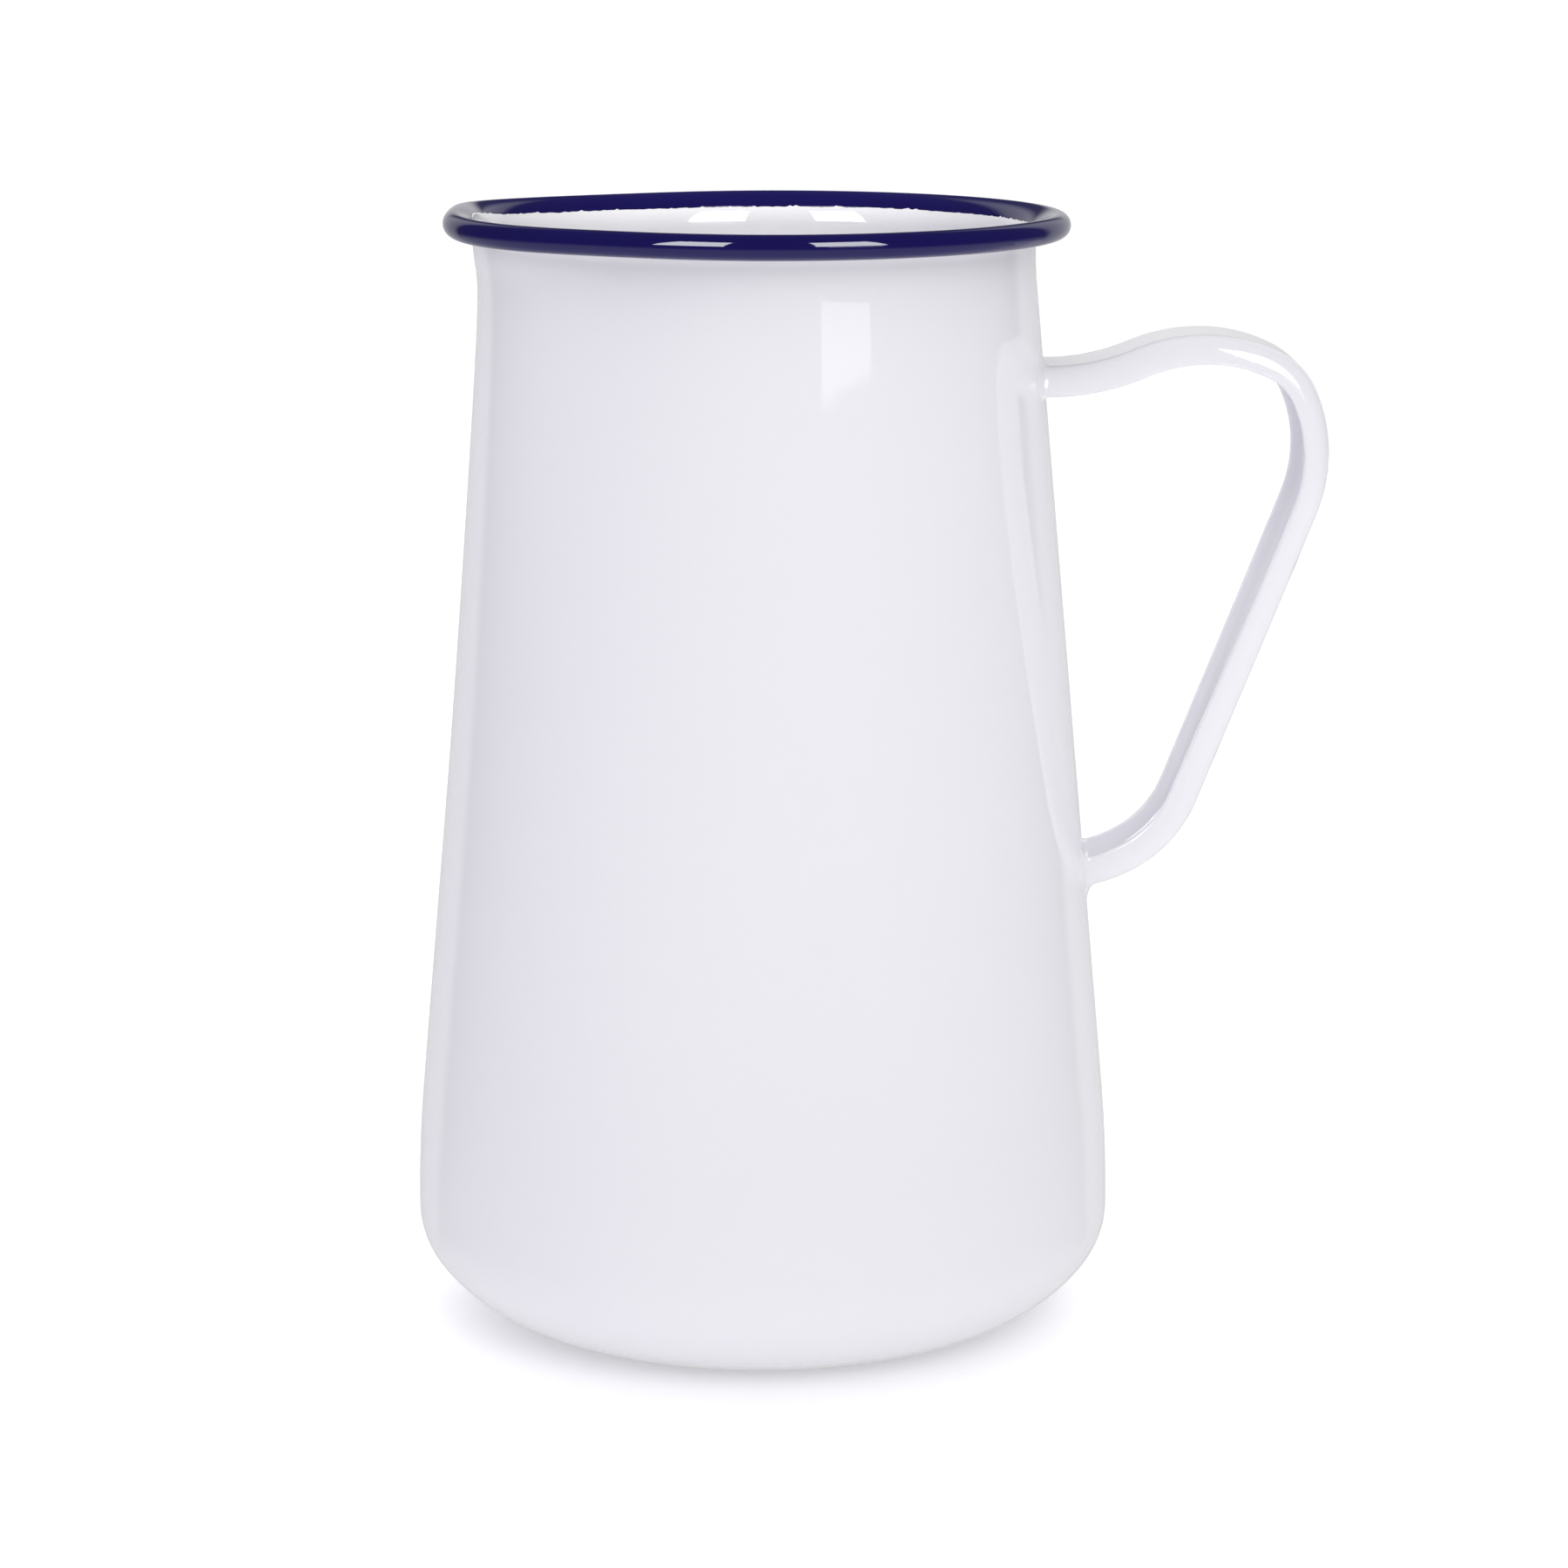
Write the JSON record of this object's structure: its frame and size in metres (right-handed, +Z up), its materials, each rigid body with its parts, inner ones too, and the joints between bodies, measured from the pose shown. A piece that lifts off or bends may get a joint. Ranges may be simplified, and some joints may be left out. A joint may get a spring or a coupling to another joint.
{
  "type": "milk jug",
  "caption": "Tall tapered enamelled steel milk jug with a rounded base, a pressed pouring lip, a rolled coloured rim and a channel-section strap handle.",
  "frame": {"origin": "on the body's axis, in the plane the jug stands on", "axes": "+Z up along the body's axis; +X towards the handle, so the pouring lip is on -X; +Y across, with the jug symmetric about the XZ plane"},
  "size_m": [0.1756, 0.1358, 0.2159],
  "materials": {
    "sheet_steel": "matte",
    "white_enamel": "gloss",
    "rim_enamel": "gloss"
  },
  "bodies": {
    "root": {"wall": "sheet_steel", "base_pan": "sheet_steel", "handle_strap": "sheet_steel", "wall_outer_enamel": "white_enamel", "wall_inner_enamel": "white_enamel", "pan_outer_enamel": "white_enamel", "pan_inner_enamel": "white_enamel", "handle_enamel": "white_enamel", "rim_enamel": "rim_enamel"}
  },
  "joints": []
}
